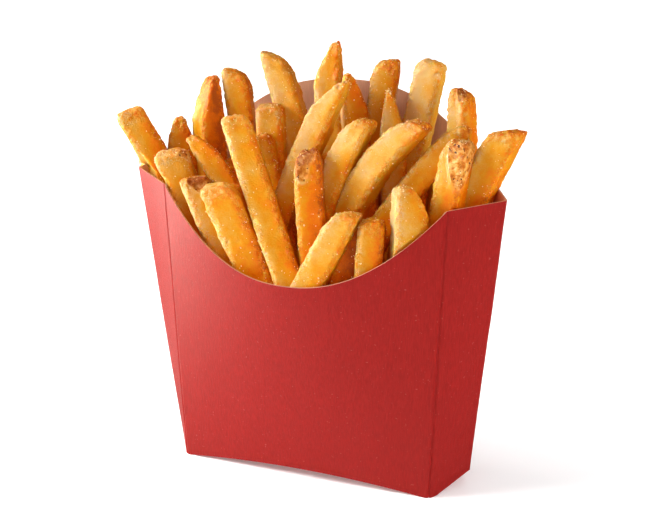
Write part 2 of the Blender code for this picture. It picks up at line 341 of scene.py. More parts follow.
def fill(tree, node, inputs):
    """Fills or links inputs of a node. They are given by name or number."""
    for key, value in inputs.items():
        if isinstance(value, bpy.types.NodeSocket):
            tree.links.new(value, node.inputs[key])
        else:
            node.inputs[key].default_value = value


def surface(material, inputs):
    """The material, with these inputs on its Principled BSDF."""
    tree = material.node_tree
    fill(tree, tree.nodes["Principled BSDF"], inputs)
    return material


def add_node(tree, kind, inputs, output=0, **settings):
    """Adds a node, sets it up, fills or links its inputs, and returns one output."""
    node = tree.nodes.new(kind)
    for key, value in settings.items():
        setattr(node, key, value)
    fill(tree, node, inputs)
    return node.outputs[output]


def calculate(tree, operation, a, b, clamp=False):
    return add_node(tree, "ShaderNodeMath", {0: a, 1: b}, operation=operation, use_clamp=clamp)


def plus(tree, a, b):
    return calculate(tree, "ADD", a, b)


def times(tree, a, b, clamp=False):
    return calculate(tree, "MULTIPLY", a, b, clamp)


def mix_colours(tree, factor, a, b):
    return add_node(tree, "ShaderNodeMix", {0: factor, 6: a, 7: b}, 2, data_type="RGBA")


def rescale(tree, value, low, high, to_low=0.0, to_high=1.0):
    """Map Range with a smooth step: value from low to high becomes to_low to to_high."""
    inputs = dict(enumerate((value, low, high, to_low, to_high)))
    return add_node(tree, "ShaderNodeMapRange", inputs, interpolation_type="SMOOTHSTEP")


def bump(tree, height, strength, distance):
    inputs = {"Height": height, "Strength": strength, "Distance": distance}
    return add_node(tree, "ShaderNodeBump", inputs)


def colour_ramp(tree, value, stops):
    node = tree.nodes.new("ShaderNodeValToRGB")
    elements = node.color_ramp.elements
    while len(elements) < len(stops):
        elements.new(0.5)
    for element, (place, colour) in zip(elements, stops):
        element.position = place
        element.color = rgba(colour)
    fill(tree, node, {0: value})
    return node.outputs[0]


def attribute(tree, name):
    return add_node(tree, "ShaderNodeAttribute", {}, "Fac", attribute_name=name)


def object_place(tree, stretch=(1.0, 1.0, 1.0)):
    """Object coordinates, with the pattern squeezed along each axis by stretch."""
    place = add_node(tree, "ShaderNodeTexCoord", {}, "Object")
    return add_node(tree, "ShaderNodeMapping", {"Vector": place, "Scale": stretch})


def texture(tree, place, scale, detail=2.0, roughness=0.5):
    """Noise from 0 to 1. scale is in cells for each metre."""
    inputs = {"Vector": place, "Scale": scale, "Detail": detail, "Roughness": roughness}
    return add_node(tree, "ShaderNodeTexNoise", inputs)


def rgba(colour):
    return (*colour, 1.0)


# The carton's shape


def rim_height(panel, share):
    """Score height at the sides, middle height in the middle: mixed by 1 - |share|^power."""
    return blend(panel.score_height, panel.mid_height, 1.0 - np.abs(share) ** panel.power)


def panel_columns(panel, share):
    """The bottom and top points of a panel's columns, where share runs from -1 to 1 across it.

    Each end is on a line between the scores, bowed outwards by a share of 1 - share^2.
    """
    crown = 1.0 - share**2
    x_bottom = share * SCORE_HALF_BOTTOM
    rise = BASE_RISE * np.maximum(0.0, 1.0 - (x_bottom / FLAT_INNER) ** 2)
    low = columns_of(x_bottom, panel.y_bottom + panel.out * BOTTOM_BULGE * crown, rise)
    height = rim_height(panel, share)
    up = height / panel.score_height
    x_top = share * blend(SCORE_HALF_BOTTOM, panel.half_top, up)
    y_top = blend(panel.y_bottom, panel.y_top, up) + panel.out * panel.bulge * crown
    return low, columns_of(x_top, y_top, height)


def facet_columns(panel, side, share):
    """The same for a facet, where share runs from its score, at 0, to its fold, at 1."""
    score_low, score_high = panel_columns(panel, np.full_like(share, side))
    fold_low = np.array([side * FOLD_HALF_BOTTOM, FOLD_Y_BOTTOM, 0.0])
    fold_high = np.array([side * FOLD_HALF_TOP, FOLD_Y_TOP, FOLD_HEIGHT])
    low = blend(score_low, fold_low, share[:, None])
    lift = FOLD_LIFT_LEFT if side < 0 else FOLD_LIFT_RIGHT
    past_flat = (np.abs(low[:, 0]) - FLAT_OUTER) / (FOLD_HALF_BOTTOM - FLAT_OUTER)
    low[:, 2] = lift * np.clip(past_flat, 0.0, 1.0)
    return low, blend(score_high, fold_high, share[:, None])


def sharp_columns(station):
    """The bottom and top points at stations from 0 to 6 round the carton, with sharp creases."""
    station = np.mod(station, 6.0)
    q = np.mod(station, 1.0)
    choices = (
        facet_columns(FRONT, -1, 1.0 - q),
        panel_columns(FRONT, 2.0 * q - 1.0),
        facet_columns(FRONT, 1, q),
        facet_columns(BACK, 1, 1.0 - q),
        panel_columns(BACK, 1.0 - 2.0 * q),
        facet_columns(BACK, -1, q),
    )
    segment = np.floor(station).astype(int)
    each = np.arange(len(station))
    return tuple(np.stack([c[end] for c in choices])[segment, each] for end in (0, 1))


def round_columns(station):
    """The same with each crease rounded, by the curve (1-t)^2 A + 2t(1-t) C + t^2 B.

    C is the crease, and A and B are the points where the rounding begins and ends.
    """
    crease = np.round(station)
    number = np.mod(crease, 6).astype(int)
    reach = np.array(CREASE_ROUND)[number]
    before, after = reach / SEGMENT_LENGTH[number - 1], reach / SEGMENT_LENGTH[number]
    away = station - crease
    t = np.clip(0.5 + 0.5 * away / np.where(away < 0, before, after), 0.0, 1.0)[:, None]
    plain = sharp_columns(station)
    a, b, c = (sharp_columns(s) for s in (crease - before, crease + after, crease))
    inside = (t > 0.0) & (t < 1.0)
    return tuple(
        np.where(inside, (1 - t) ** 2 * a[i] + 2 * t * (1 - t) * c[i] + t**2 * b[i], plain[i])
        for i in (0, 1)
    )


def ring_stations(panel_steps, facet_steps, crease_steps):
    """Stations round the carton, with steps of their own within CREASE_REACH of each crease."""
    found = []
    for k, length in enumerate(SEGMENT_LENGTH):
        near = CREASE_REACH / length
        steps = panel_steps if k in (FRONT_LEFT, BACK_RIGHT) else facet_steps
        found += [
            k + np.linspace(0.0, near, crease_steps, endpoint=False),
            k + np.linspace(near, 1.0 - near, steps, endpoint=False),
            k + np.linspace(1.0 - near, 1.0, crease_steps, endpoint=False),
        ]
    return np.concatenate(found)


def crease_distance(station, creases):
    """Millimetres round the carton from each station to the nearest of these creases."""
    distance = np.full(len(station), 1e3)
    for crease in creases:
        away = np.mod(station - crease + 3.0, 6.0) - 3.0
        scale = np.where(away < 0, SEGMENT_LENGTH[crease - 1], SEGMENT_LENGTH[crease])
        near = np.abs(away) < 0.5
        distance = np.where(near, np.minimum(distance, np.abs(away) * scale), distance)
    return distance


def wall_at(panel, x, z):
    """(y of a panel and its facets at x and height z, height of their rim there).

    It is the same bowed line between the scores, and a straight one from score to fold.
    """
    score_x = SCORE_HALF_BOTTOM + (panel.half_top - SCORE_HALF_BOTTOM) * z / panel.score_height
    share = np.clip(x / score_x, -1.0, 1.0)
    rim = rim_height(panel, share)
    bulge = BOTTOM_BULGE + (panel.bulge - BOTTOM_BULGE) * z / rim
    y = blend(panel.y_bottom, panel.y_top, z / panel.score_height)
    y = y + panel.out * bulge * (1.0 - share**2)
    fold_y = blend(FOLD_Y_BOTTOM, FOLD_Y_TOP, z / FOLD_HEIGHT)
    past = np.clip((np.abs(x) - score_x) / (fold_half(z) - score_x), 0.0, 1.0)
    return blend(y, fold_y, past), blend(rim, FOLD_HEIGHT, past)


def fold_half(z):
    return blend(FOLD_HALF_BOTTOM, FOLD_HALF_TOP, z / FOLD_HEIGHT)


def keep_inside(points):
    """Points that reach the card, put back inside it. Past the rim the limit opens at 45 degrees."""
    x, y, z = points.T.copy()
    room = fold_half(np.minimum(z, FOLD_HEIGHT)) - CARD - 2.0 * CARD_GAP
    room = room + np.maximum(0.0, z - FOLD_HEIGHT)
    x = np.clip(x, -room, room)
    for panel in (FRONT, BACK):
        wall, rim = wall_at(panel, x, np.minimum(z, panel.mid_height))
        limit = wall + panel.out * (np.maximum(0.0, z - rim) - CARD - CARD_GAP)
        y = np.maximum(y, limit) if panel.out < 0 else np.minimum(y, limit)
    return columns_of(x, y, z)


def card_sheet(groove_depth):
    """(points, triangles) of the card's outer face: the walls, stations by heights, and the base.

    A wall point is bottom + (top - bottom) * v, warped a little and pushed in by
    depth * exp(-(d / width)^2) at a distance d from a score. The base is ruled from the
    front's bottom edge to the back's.
    """
    station = ring_stations(panel_steps=56, facet_steps=12, crease_steps=12)
    low, high = round_columns(station)
    v = np.linspace(0.0, 1.0, 49)[:, None, None]
    wall = low + (high - low) * v
    outward = unit(np.roll(wall, -1, axis=1) - np.roll(wall, 1, axis=1))
    outward = columns_of(outward[..., 1], -outward[..., 0], 0.0)
    groove = groove_depth * np.exp(-((crease_distance(station, GROOVED) / GROOVE_WIDTH) ** 2))
    warp = 0.25 * noise(wall, 34.0, 5) + 0.05 * noise(wall, 9.0, 6)
    edge = np.sin(np.pi * v[..., 0]) ** 0.5
    wall = wall + outward * (warp * edge - groove[None, :])[..., None]
    wall[0, :, 2] = low[:, 2]

    rows, count = wall.shape[:2]
    number = np.arange(rows * count).reshape(rows, count)
    half = count // 2
    front = number[0, : half + 1]
    back = np.append(number[0, 0], number[0, :half - 1:-1])
    across = np.linspace(0.0, 1.0, 10)[1:-1, None, None]
    base = blend(wall[0, front][None], wall[0, back][None], across)[:, 1:-1]
    index = np.vstack([front, np.zeros((len(base), half + 1), int), back])
    index[1:-1, 1:-1] = rows * count + np.arange(base[..., 0].size).reshape(base.shape[:2])
    index[:, -1] = front[-1]
    points = np.vstack([wall.reshape(-1, 3), base.reshape(-1, 3)])
    return points, np.vstack([ring_triangles(number), grid_triangles(index)[:, ::-1]])


# The fries' shape


def section(columns):
    """(angle, x, y) round a square section of half width 1 with round corners and hollow faces.

    The radius is (|cos|^p + |sin|^p)^(-1/p) times 1 - h cos 4a. Angles crowd at the corners.
    """
    even = np.linspace(0.0, 2.0 * np.pi, columns, endpoint=False)
    angle = even + 0.11 * np.sin(4.0 * even)
    p = SECTION_POWER
    radius = (np.abs(np.cos(angle)) ** p + np.abs(np.sin(angle)) ** p) ** (-1.0 / p)
    radius = radius * (1.0 - SECTION_HOLLOW * np.cos(4.0 * angle))
    return angle, radius * np.cos(angle), radius * np.sin(angle)


def fry_rows(width, foot, length, row_step):
    """(place along the axis, how much of its size the section keeps, closing angle) of each row.

    The end closes on a superellipse: with f from 0 to a right angle, the section shrinks by
    cos(f)^(2/e) while it goes on by sin(f)^(2/e).
    """
    cap = CAP_SHARE * width
    shown = np.linspace(0.0, length - cap, int((length - cap) / row_step))
    body = np.concatenate([np.linspace(foot, 0.0, HIDDEN_ROWS, endpoint=False), shown])
    closing = np.linspace(0.0, np.pi / 2, CAP_ROWS)[1:-1]
    power = 2.0 / CAP_SQUARENESS
    place = np.concatenate([body, length - cap + cap * np.sin(closing) ** power])
    shrink = np.concatenate([np.ones(len(body)), np.cos(closing) ** power])
    return place, shrink, np.concatenate([np.zeros(len(body)), closing])


def crust_places(points, angle, width, from_end, bumps):
    """(narrow corner, wide corner, end) of each point, from 0 to 1.

    A corner is where |sin 2a| and some noise come near 1. The end begins at 0.42 of the width
    from the tip, with a ragged border that runs further down the corners.
    """
    edge = np.abs(np.sin(2.0 * angle))[None] + 0.13 * noise(points, 2.6, 16) + 0.05 * bumps
    narrow, wide = ease(edge, 0.78, 1.03), ease(edge, 0.55, 1.08)
    end = 0.42 * width - from_end + 2.6 * noise(points, 3.4, 17) + 1.6 * narrow
    return narrow, wide, ease(end, -1.4, 2.4)


def crust_relief(points, corner, crust, tip_near, patches, bumps):
    """How far each point stands out, in millimetres.

    There are broad swells all over, blisters in patches, rough crust on corners and ends,
    nicks in the corners, and a knobbly tip.
    """
    lift = 0.22 * noise(points, 9.0, 2) + 0.13 * noise(points, 3.8, 3) + 0.06 * noise(points, 1.7, 4)
    lift += 0.4 * np.maximum(0.0, noise(points, 2.1, 7) - 0.3) * np.clip(patches + 0.5, 0.0, 1.0)
    lift += crust * (0.03 + 0.32 * bumps + 0.20 * noise(points, 0.75, 18))
    lift -= corner * 0.5 * np.maximum(0.0, noise(points, 3.1, 14) - 0.25)
    return lift + tip_near * (0.34 * noise(points, 1.5, 9) + 0.25 * noise(points, 3.0, 15))


def peel_cover(fry, points, angle, share):
    """How much peel covers each point, from 0 to 1.

    It begins at the share fry.peel of the length, on the side fry.skin, and widens to
    fry.spread at the tip, with a ragged border.
    """
    facing = np.cos(angle - np.radians(fry.skin))[None]
    ragged = 0.36 * noise(points, 4.0, 10) + 0.24 * noise(points, 1.4, 11)
    down = (1.0 - share[:, None]) / (1.0 - fry.peel)
    needed = blend(1.0 - fry.spread, 1.1, down + ragged)
    return ease(facing + ragged - needed, -0.10, 0.20)


def peel_relief(points, peel):
    """Wrinkles in the peel, a little sunk, and a raised rim round it, in millimetres."""
    wrinkle = 0.5 - np.abs(noise(points, 1.9, 12))
    rim = peel * (1.0 - peel) * 4.0
    return peel * (0.40 * wrinkle + 0.16 * noise(points, 0.9, 13) - 0.15) + 0.30 * rim


def fry_tone(own_tone, change, points, outward, streaks, face, corner, end, patches):
    """How deep the gold is at each point, from 0 to 1.

    It deepens towards the right and down into the heap: painted shade, for the light that comes
    from the left and the shade low between the fries. The middles of the faces are paler in
    streaks, and so are the cut end and the corners, most on the left, where that paleness is
    partly the crust's own colour and partly a painted highlight.
    """
    x_out, y, z = outward[..., 0], points[..., 1], points[..., 2]
    # Painted shade: the tone deepens on faces turned to the right, away from the lights on the left,
    # and low in the heap, where shade falls between the fries.
    painted_low_shade = (1.0 - ease(z, 72.0, 114.0)) * (0.5 + 0.5 * ease(y, -22.0, -8.0))
    side = 0.30 * x_out + 0.36 * painted_low_shade
    # Pale crust on the corners, ragged, and stronger on faces turned to the left: partly the crust's
    # own colour, partly a painted highlight where the light from the left falls.
    pale_crust_and_highlight = np.clip(0.6 - 0.5 * x_out, 0.0, 1.0) * (0.3 + 0.7 * ease(noise(points, 8.0, 19), -0.5, 0.5))
    tone = own_tone + side + 0.06 * patches - face * (0.06 + 0.10 * streaks)
    return tone + (change - 0.28 * corner * pale_crust_and_highlight - 0.12 * end)


def fry_surface(fry, seed, columns, row_step):
    """(points, triangles, attributes) of one fry: a square section carried along a bent axis.

    Over its last reach the section tapers to its blunt share, and the axis place of a point is
    tilted by slant times its own x. The crust's relief then moves each point outwards.
    """
    rng = np.random.default_rng(seed)
    seat, tip = np.array([*fry.seat, SEAT_HEIGHT]), np.array(fry.tip, float)
    axis = tip - seat
    length = np.linalg.norm(axis)
    along = axis / length
    across = unit(np.cross([0.0, 1.0, 0.0], along))
    forward = np.cross(along, across)
    foot = (FRY_FOOT - SEAT_HEIGHT) / axis[2] * length
    place, shrink, closing = fry_rows(fry.width, foot, length, row_step)
    share = place / length

    taper = 1.0 - (1.0 - fry.blunt) * np.clip((place - length + fry.reach) / fry.reach, 0.0, 1.0) ** 1.5
    tilt = ease(place, length - 1.6 * fry.width, length - 0.2 * fry.width)
    angle, x, y = section(columns)
    thinner = 1.0 - fry.narrow * np.clip(share, 0.0, 1.0)
    half_w = 0.5 * fry.width * thinner * (1.0 + 0.04 * np.sin(place / 13.0 + rng.uniform(0, 6)))
    half_t = 0.5 * fry.thick * thinner * (1.0 + 0.04 * np.sin(place / 11.0 + rng.uniform(0, 6)))
    x = x * (half_w * taper * shrink)[:, None] + (fry.lean * half_w * (1.0 - taper))[:, None]
    y = y * (half_t * (0.5 + 0.5 * taper) * shrink)[:, None]
    forwards = (place[:, None] + tilt[:, None] * fry.slant * x)[..., None] * along
    turn = np.radians(fry.turn + rng.uniform(-8, 8) * (share - 0.5))[:, None]
    bend = fry.bow * 4.0 * share * (1.0 - share)
    wave = 0.35 * np.sin(place / 16.0 + rng.uniform(0, 6))
    right, ahead = turned(x, y, turn)
    sideways = (right - bend[:, None])[..., None] * across
    points = seat + forwards + sideways + (ahead + wave[:, None])[..., None] * forward

    right, ahead = turned(np.cos(angle)[None], np.sin(angle)[None], turn)
    sideface = right[..., None] * across + ahead[..., None] * forward
    closing = closing[:, None, None]
    outward = unit(sideface * np.cos(closing) + along * np.sin(closing))

    from_end = (length - place)[:, None]
    tip_near = np.exp(-np.maximum(0.0, from_end) / TIP_FADE)
    patches, bumps = noise(points, 11.0, 1), noise(points, 1.1, 8)
    corner, wide_corner, end = crust_places(points, angle, fry.width, from_end, bumps)
    crust = np.maximum(corner, end)
    lift = crust_relief(points, corner, crust, tip_near, patches, bumps)
    peel = np.zeros(points.shape[:2])
    if fry.skin is not None:
        peel = peel_cover(fry, points, angle, share)
        lift += peel_relief(points, peel)
    points = points + outward * lift[..., None]

    streak_place = columns_of(x, y, place[:, None] / 4.5) + 40.0 * seed
    streaks = noise(streak_place, 2.2, 40) + 0.4 * noise(streak_place, 0.9, 41)
    face = ease(np.abs(np.cos(2.0 * angle)), 0.25, 0.95)[None] * (1.0 - end)
    change = rng.uniform(-0.03, 0.03)
    # The tone holds painted shade and a painted highlight as well as each fry's own tone.
    tone = fry_tone(fry.tone, change, points, outward, streaks, face, wide_corner, end, patches)
    rows, count = points.shape[:2]
    bottom, top = points[0].mean(axis=0), points[-1].mean(axis=0) + 0.02 * along
    points = np.vstack([points.reshape(-1, 3), bottom, top])
    scorch = fry.brown * tip_near * np.ones_like(tone)
    layers = {"tone": tone, "crust": crust, "tip": scorch, "peel": peel}
    for key, values in layers.items():
        layers[key] = np.append(values, values.ravel()[[0, -1]])
    return keep_inside(points), closed_tube(rows, count), layers


def joined(surfaces):
    """Several (points, triangles, attributes) as one."""
    offsets = np.cumsum([0] + [len(points) for points, _, _ in surfaces])
    points = np.vstack([points for points, _, _ in surfaces])
    triangles = np.vstack([t + offset for (_, t, _), offset in zip(surfaces, offsets)])
    keys = surfaces[0][2]
    return points, triangles, {key: np.concatenate([s[2][key] for s in surfaces]) for key in keys}


def make_fries(name, fries, first_seed, columns=68, row_step=0.42):
    surfaces = [fry_surface(fry, first_seed + i, columns, row_step) for i, fry in enumerate(fries)]
    points, triangles, attributes = joined(surfaces)
    material = fry_material(name + "_crust")
    return make_piece(name, points, triangles, [material], attributes, "fries")


def core_surface():
    """(points, triangles) of what fills the carton below the fries: rings of its own outline.

    Each ring is the wall's line at a height, moved inwards, and the top closes to its middle
    with a relief of ridges.
    """
    station = ring_stations(panel_steps=60, facet_steps=10, crease_steps=2)
    low, high = sharp_columns(station)
    height = np.linspace(CORE_FOOT, CORE_TOP, 14)[:, None]
    share = (height - low[None, :, 2]) / (high[None, :, 2] - low[None, :, 2])
    sides = low[None] + (high - low)[None] * share[..., None]
    axis = np.array([0.0, CORE_MIDDLE_Y, 0.0])
    inset = CORE_INSET / np.linalg.norm((sides - axis)[..., :2], axis=-1, keepdims=True)
    sides = blend(sides, axis + sides * [0, 0, 1], inset)
    bottom, top = axis + [0, 0, CORE_FOOT], axis + [0, 0, CORE_TOP]
    roof = blend(top, sides[-1][None], np.linspace(1.0, 0.0, 26)[1:-1, None, None])
    roof[..., 2] += 2.2 * noise(roof, 7.0, 20) + 1.2 * noise(roof, 2.5, 21)
    floor = blend(bottom, sides[0][None], np.linspace(0.1, 0.9, 4)[:, None, None])
    grid = np.concatenate([floor, sides, roof])
    return np.vstack([grid.reshape(-1, 3), bottom, top]), closed_tube(*grid.shape[:2])


# Salt


def salt_surface(anchors, normals, smallest, largest, rng):
    """(points, triangles) of one small box for each anchor, each corner moved a little.

    A corner is size * (sign / 2 + jitter), turned by a random rotation and set on the crust.
    """
    count = len(anchors)
    signs = np.array(list(np.ndindex(2, 2, 2)), float) - 0.5
    size = smallest + (largest - smallest) * rng.random((count, 1, 1)) ** 2.5
    corners = (signs[None] + rng.uniform(-0.16, 0.16, (count, 8, 3))) * size
    corners *= rng.uniform(0.7, 1.2, (count, 1, 3))
    a = unit(rng.normal(size=(count, 3)))
    b = unit(np.cross(a, rng.normal(size=(count, 3))))
    turn = np.stack([a, b, np.cross(a, b)], axis=1)
    placed = np.einsum("nci,nij->ncj", corners, turn) + (anchors + normals * size[:, 0] * 0.3)[:, None]
    box = np.array([
        (0, 1, 3), (0, 3, 2), (4, 6, 7), (4, 7, 5), (0, 4, 5), (0, 5, 1),
        (2, 3, 7), (2, 7, 6), (0, 2, 6), (0, 6, 4), (1, 5, 7), (1, 7, 3),
    ])
    triangles = box[None] + 8 * np.arange(count)[:, None, None]
    return placed.reshape(-1, 3), triangles.reshape(-1, 3)


# Materials


def fry_material(name):
    """Fried potato: pale to deep gold by its tone, brown at scorched tips, with some peel left."""
    looks = bpy.context.scene.fries_look
    material, tree = new_material(name)
    place = object_place(tree)
    broad = texture(tree, place, BROAD, 3.0)
    fine = texture(tree, place, FINE, 4.0, 0.65)
    grain = texture(tree, place, GRAIN, 2.0, 0.6)
    crust, tip, peel = (attribute(tree, key) for key in ("crust", "tip", "peel"))
    rough = rescale(tree, crust, 0.0, 1.0, 0.25, 1.0)

    speckle = rescale(tree, plus(tree, fine, grain), 0.75, 1.25, -0.30, 0.30)
    scorch = times(tree, tip, rescale(tree, fine, 0.3, 0.65, 0.15, 1.2), clamp=True)
    # The tone attribute carries painted shade, deeper to the right and low in the heap, and a painted
    # highlight on left corners, as well as each fry's own tone.
    depth = plus(tree, attribute(tree, "tone"), rescale(tree, broad, 0.3, 0.7, -0.12, 0.12))
    depth = plus(tree, depth, times(tree, speckle, rough))
    depth = plus(tree, depth, times(tree, scorch, 0.6))
    body = colour_ramp(tree, depth, (
        (0.0, looks.pale), (0.26, looks.light), (0.48, looks.gold), (0.74, looks.deep),
        (0.92, Vector(looks.deep) * 0.8), (1.0, looks.brown),
    ))
    body = mix_colours(tree, times(tree, scorch, 0.5), body, rgba(looks.brown))
    # Pale dots on the rough crust: partly real blisters, partly painted glints.
    blister_and_glint = times(tree, rescale(tree, grain, 0.58, 0.68, 0.0, 0.55), rough)
    body = mix_colours(tree, blister_and_glint, body, rgba(looks.light))

    rough_skin = colour_ramp(tree, texture(tree, place, 560.0, 4.0, 0.65), (
        (0.36, PEEL_BROWN), (0.48, PEEL_TAN), (0.60, PEEL_PALE),
    ))
    specks = rescale(tree, texture(tree, place, 760.0, 1.0, 0.4), 0.65, 0.70)
    rough_skin = mix_colours(tree, specks, rough_skin, rgba(PEEL_SPECK))
    burnt = times(tree, tip, rescale(tree, fine, 0.3, 0.6, 0.5, 1.4), clamp=True)
    rough_skin = mix_colours(tree, burnt, rough_skin, rgba(Vector(looks.brown) * 0.7))
    skin_cover = rescale(tree, peel, 0.45, 0.75)
    lip = calculate(tree, "SUBTRACT", rescale(tree, peel, 0.05, 0.4), skin_cover, clamp=True)
    lip = times(tree, lip, rescale(tree, broad, 0.4, 0.6, 0.1, 0.9))
    body = mix_colours(tree, lip, body, rgba(looks.pale))

    relief = plus(tree, fine, times(tree, grain, 0.5))
    relief = times(tree, calculate(tree, "SUBTRACT", relief, 0.75), rough)
    return surface(material, {
        "Base Color": mix_colours(tree, skin_cover, body, rough_skin),
        "Normal": bump(tree, relief, 1.0, 0.0008),
        "Roughness": rescale(tree, plus(tree, fine, crust), 0.4, 1.5, 0.30, 0.50),
        "Specular IOR Level": 0.17,
        "Subsurface Weight": 0.70,
        "Subsurface Radius": (1.0, 0.35, 0.08),
        "Subsurface Scale": 2.8 * MM,
    })


def core_material():
    """The crowded inside of the portion: deep gold, mottled."""
    looks = bpy.context.scene.fries_look
    material, tree = new_material("packed_potato")
    mottle = texture(tree, object_place(tree), 260.0, 3.0)
    return surface(material, {
        "Base Color": colour_ramp(tree, mottle, ((0.3, looks.deep), (0.7, looks.brown))),
        "Normal": bump(tree, mottle, 0.6, 0.0006),
        "Roughness": 0.55,
    })


def salt_material():
    """Grains of salt, warm from the oil on them."""
    material, tree = new_material("salt")
    cloud = texture(tree, object_place(tree), 2500.0)
    return surface(material, {
        "Base Color": colour_ramp(tree, cloud, ((0.3, SALT_DIM), (0.7, SALT_BRIGHT))),
        "Roughness": 0.4,
        "IOR": 1.54,
        "Specular IOR Level": 0.2,
    })


def card_fibres(tree):
    """(long fibres along the height, short grain, sparse specks) of the card, each from 0 to 1."""
    fibres = texture(tree, object_place(tree, (1.0, 1.0, 0.12)), FIBRE, 3.0, 0.6)
    grain = texture(tree, object_place(tree), FIBRE, 2.0, 0.6)
    specks = rescale(tree, texture(tree, object_place(tree), 1300.0, 1.0), 0.70, 0.78)
    return fibres, grain, specks


def printed_material():
    """Red print on the card's outer face: a flat ink over faint upright fibres, with pale specks."""
    looks = bpy.context.scene.carton_look
    material, tree = new_material("red_print")
    fibres, grain, specks = card_fibres(tree)
    shade = rescale(tree, fibres, 0.3, 0.7, 0.0, 1.0)
    broad = rescale(tree, texture(tree, object_place(tree), 26.0, 3.0), 0.3, 0.7)
    red = Vector(looks.red)
    colour = mix_colours(tree, shade, rgba(red * 0.84), rgba(red * 1.10 + Vector((0.0, 0.002, 0.002))))
    colour = mix_colours(tree, times(tree, broad, 0.25), colour, rgba(red * 0.88))
    colour = mix_colours(tree, times(tree, specks, 0.16), colour, rgba(looks.speck))
    height = plus(tree, fibres, times(tree, grain, 0.6))
    return surface(material, {
        "Base Color": colour,
        "Normal": bump(tree, height, 0.6, 0.00016),
        "Roughness": rescale(tree, grain, 0.3, 0.7, 0.42, 0.54),
        "Specular IOR Level": 0.20,
        "Specular Tint": (1.0, 0.94, 0.84, 1.0),
        "Sheen Weight": 0.12,
        "Sheen Roughness": 0.4,
        "Sheen Tint": (1.0, 0.80, 0.72, 1.0),
    })


def bare_material(name, colour):
    """Bare board: pale, with fibres and a few darker flecks."""
    material, tree = new_material(name)
    fibres, grain, specks = card_fibres(tree)
    pale = Vector(colour)
    shade = mix_colours(tree, rescale(tree, fibres, 0.3, 0.7), rgba(pale * 0.93), rgba(pale * 1.04))
    shade = mix_colours(tree, times(tree, specks, 0.4), shade, rgba(pale * 0.7))
    return surface(material, {
        "Base Color": shade,
        "Normal": bump(tree, grain, 0.3, 0.00005),
        "Roughness": 0.75,
    })


def floor_material(colour):
    """A pale floor that glows a little more further out, so that it has no horizon."""
    material, tree = new_material("pale_floor")
    place = object_place(tree)
    drift = texture(tree, place, 3.0)
    far = add_node(tree, "ShaderNodeVectorMath", {0: place}, "Value", operation="LENGTH")
    return surface(material, {
        "Base Color": mix_colours(tree, drift, rgba(Vector(colour) * 0.985), rgba(colour)),
        "Roughness": 0.8,
        "Emission Color": WHITE,
        "Emission Strength": rescale(tree, far, 0.2, 0.75, 0.20, 0.8),
    })


# What a user would change


def colour_choice(name, description, default):
    return FloatVectorProperty(
        name=name, description=description, default=default, subtype="COLOR", size=3, min=0.0, max=1.0
    )


def length_choice(name, description, default, low, high):
    return FloatProperty(
        name=name, description=description, default=default, min=low, max=high, unit="LENGTH"
    )


def light_choice(name, description, default, unit="POWER"):
    return FloatProperty(name=name, description=description, default=default, min=0.0, unit=unit)


class CartonLook(bpy.types.PropertyGroup):
    board: length_choice("Board", "Thickness of the card", CARD * MM, 0.0002, 0.0015)
    groove: length_choice(
        "Score depth", "How deep the scores are pressed in", 0.44 * MM, 0.0, 0.0005
    )
    red: colour_choice("Print", "Colour of the printed outer face", (0.365, 0.0043, 0.0029))
    speck: colour_choice("Specks", "Colour of the pale specks in the print", (0.85, 0.25, 0.20))
    inside: colour_choice("Inside", "Colour of the bare inner face", (0.92, 0.50, 0.32))
    cut_edge: colour_choice("Cut edge", "Colour of the card's cut edge", (0.72, 0.36, 0.22))


class FriesLook(bpy.types.PropertyGroup):
    # The tone that picks among these colours also holds painted light: it moves towards deep gold and
    # brown on faces to the right and low in the heap (painted shade), and towards pale on left corners
    # (partly a painted highlight).
    pale: colour_choice("Pale", "Colour of the lightest crust", (0.58, 0.390, 0.145))
    light: colour_choice("Light gold", "Colour between pale and gold", (0.58, 0.330, 0.046))
    gold: colour_choice("Gold", "Colour of most of the crust", (0.57, 0.255, 0.004))
    deep: colour_choice("Deep gold", "Colour of the most fried crust", (0.60, 0.155, 0.001))
    brown: colour_choice("Brown", "Colour of scorched tips", (0.34, 0.078, 0.006))
    salt_count: IntProperty(
        name="Salt", description="Number of loose grains", default=6200, min=0, max=12000,
    )
    salt_smallest: length_choice(
        "Smallest grain", "Edge of the smallest grain of salt", 0.11 * MM, 0.00005, 0.001
    )
    salt_largest: length_choice(
        "Largest grain", "Edge of the largest grain of salt", 0.34 * MM, 0.0001, 0.002
    )


class StageLook(bpy.types.PropertyGroup):
    floor: colour_choice("Floor", "Colour of the floor", (0.98, 0.98, 0.98))
    key_power: light_choice("Key", "Power of the light on the left", 2.15)
    side_power: light_choice("Side", "Power of the light further round on the left", 2.3)
    gloss_power: light_choice("Gloss", "Power of the light on the left that only gives a sheen", 11.0)
    fill_power: light_choice("Fill", "Power of the light on the right", 0.80)
    high_power: light_choice("High", "Power of the light above on the right", 0.12)
    table_power: light_choice(
        "Table", "Strength of the light that falls on the floor only", 0.6, "NONE"
    )
    glow_power: light_choice(
        "Glow", "Strength of the warm light that passes through the fries", 1.15, "NONE"
    )
    surround: light_choice("Surround", "Strength of the even light from all round", 0.28, "NONE")
    lens: FloatProperty(
        name="Lens", description="Focal length of the camera in millimetres", default=69.15,
        min=20.0, max=200.0,
    )


# Operators


